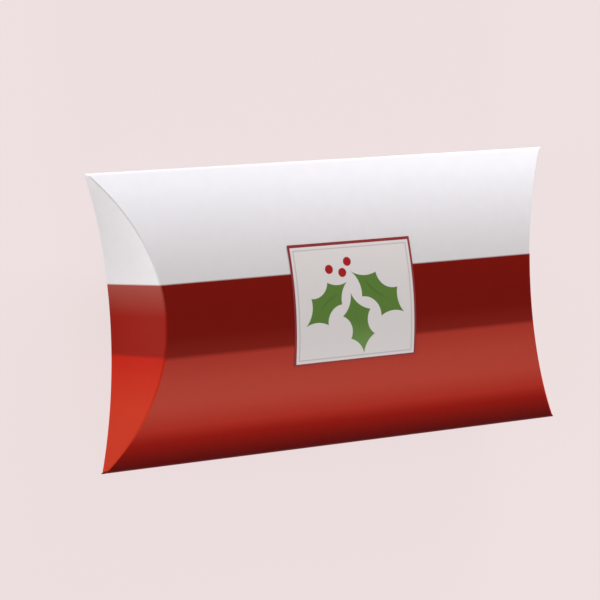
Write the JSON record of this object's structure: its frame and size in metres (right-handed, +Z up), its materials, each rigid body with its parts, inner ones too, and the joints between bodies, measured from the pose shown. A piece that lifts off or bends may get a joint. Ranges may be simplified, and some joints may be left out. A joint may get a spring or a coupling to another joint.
{
  "type": "pillow box",
  "caption": "Folded card pillow box with curved end flaps that swing open, a glued seam and a square label on its curved front panel.",
  "frame": {"origin": "middle of the closed box's footprint, on the surface that it lies on, under the crown of the back panel", "axes": "+X along the length, towards the right end as the label is read; +Y across the width, towards the label's top edge; +Z up through the depth, from the back panel to the labelled front panel"},
  "size_m": [0.167, 0.09, 0.0301],
  "materials": {
    "printed_card": "satin print on coated box board, white, dark red and red bands outside, bare white inside",
    "bare_card": "uncoated inner side of the board",
    "adhesive": "thin film of set glue",
    "label_paper": "matt paper"
  },
  "bodies": {
    "box": {"front_panel": "printed_card", "back_panel": "printed_card", "seam_tab": "bare_card", "seam_adhesive": "adhesive", "label": "label_paper"},
    "left_outer": {"left_outer_flap": "printed_card"},
    "left_inner": {"left_inner_flap": "printed_card"},
    "right_outer": {"right_outer_flap": "printed_card"},
    "right_inner": {"right_inner_flap": "printed_card"}
  },
  "joints": [
    {"name": "left_outer_crease", "type": "hinge", "parent": "box", "child": "left_outer", "pos_m": [-0.06609, 0, 0.03], "axis": [0, 1, 0], "range_deg": [0, 81.5]},
    {"name": "left_inner_crease", "type": "hinge", "parent": "box", "child": "left_inner", "pos_m": [-0.06968, 0, 0], "axis": [0, -1, 0], "range_deg": [0, 81.5]},
    {"name": "right_outer_crease", "type": "hinge", "parent": "box", "child": "right_outer", "pos_m": [0.06609, 0, 0.03], "axis": [0, -1, 0], "range_deg": [0, 81.5]},
    {"name": "right_inner_crease", "type": "hinge", "parent": "box", "child": "right_inner", "pos_m": [0.06968, 0, 0], "axis": [0, 1, 0], "range_deg": [0, 81.5]}
  ],
  "couplings": [
    {"joint": "left_inner_crease", "follows": "left_outer_crease", "ratio": 1},
    {"joint": "right_inner_crease", "follows": "right_outer_crease", "ratio": 1}
  ]
}
